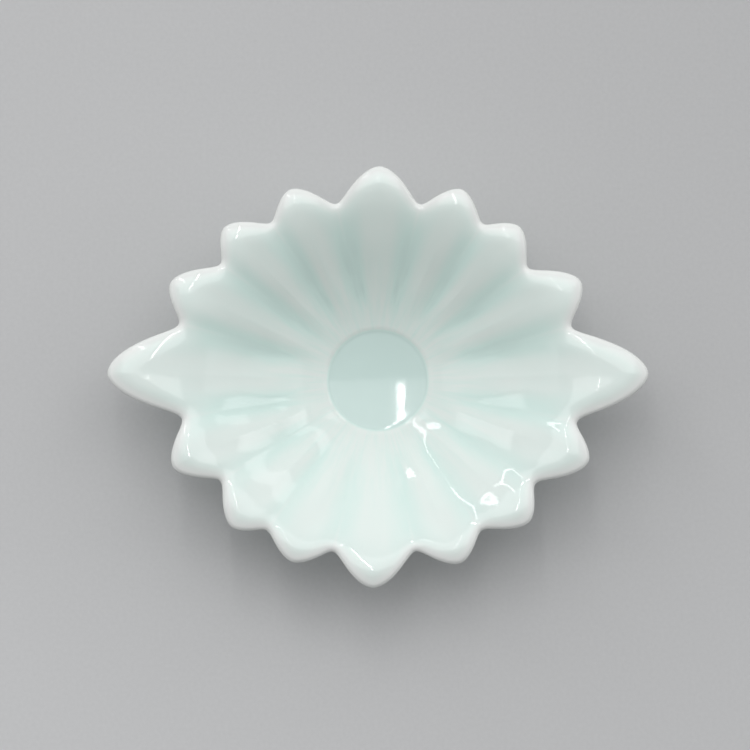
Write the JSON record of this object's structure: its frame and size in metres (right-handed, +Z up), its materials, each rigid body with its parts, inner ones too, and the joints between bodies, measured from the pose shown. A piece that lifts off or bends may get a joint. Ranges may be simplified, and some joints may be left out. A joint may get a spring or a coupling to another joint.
{
  "type": "mixing palette",
  "caption": "Flower-shaped porcelain mixing palette with petal creases that run down to a round central well, celadon glazed, on a foot ring.",
  "frame": {"origin": "on the surface that the dish stands on, under the middle of its outline", "axes": "+X along the longest spread, through the two long pointed petals; +Y across it; +Z up out of the well"},
  "size_m": [0.1499, 0.117, 0.0325],
  "materials": {
    "clay_body": "fired white porcelain, matte",
    "bare_porcelain": "bare fired porcelain, turned and slightly toasted",
    "celadon_glaze": "glossy pale celadon, white where thin, greener where pooled",
    "base_glaze": "glossy pale celadon"
  },
  "bodies": {
    "root": {"porcelain_body": "clay_body", "foot_ring": "bare_porcelain", "celadon_glaze": "celadon_glaze", "base_glaze": "base_glaze"}
  },
  "joints": []
}
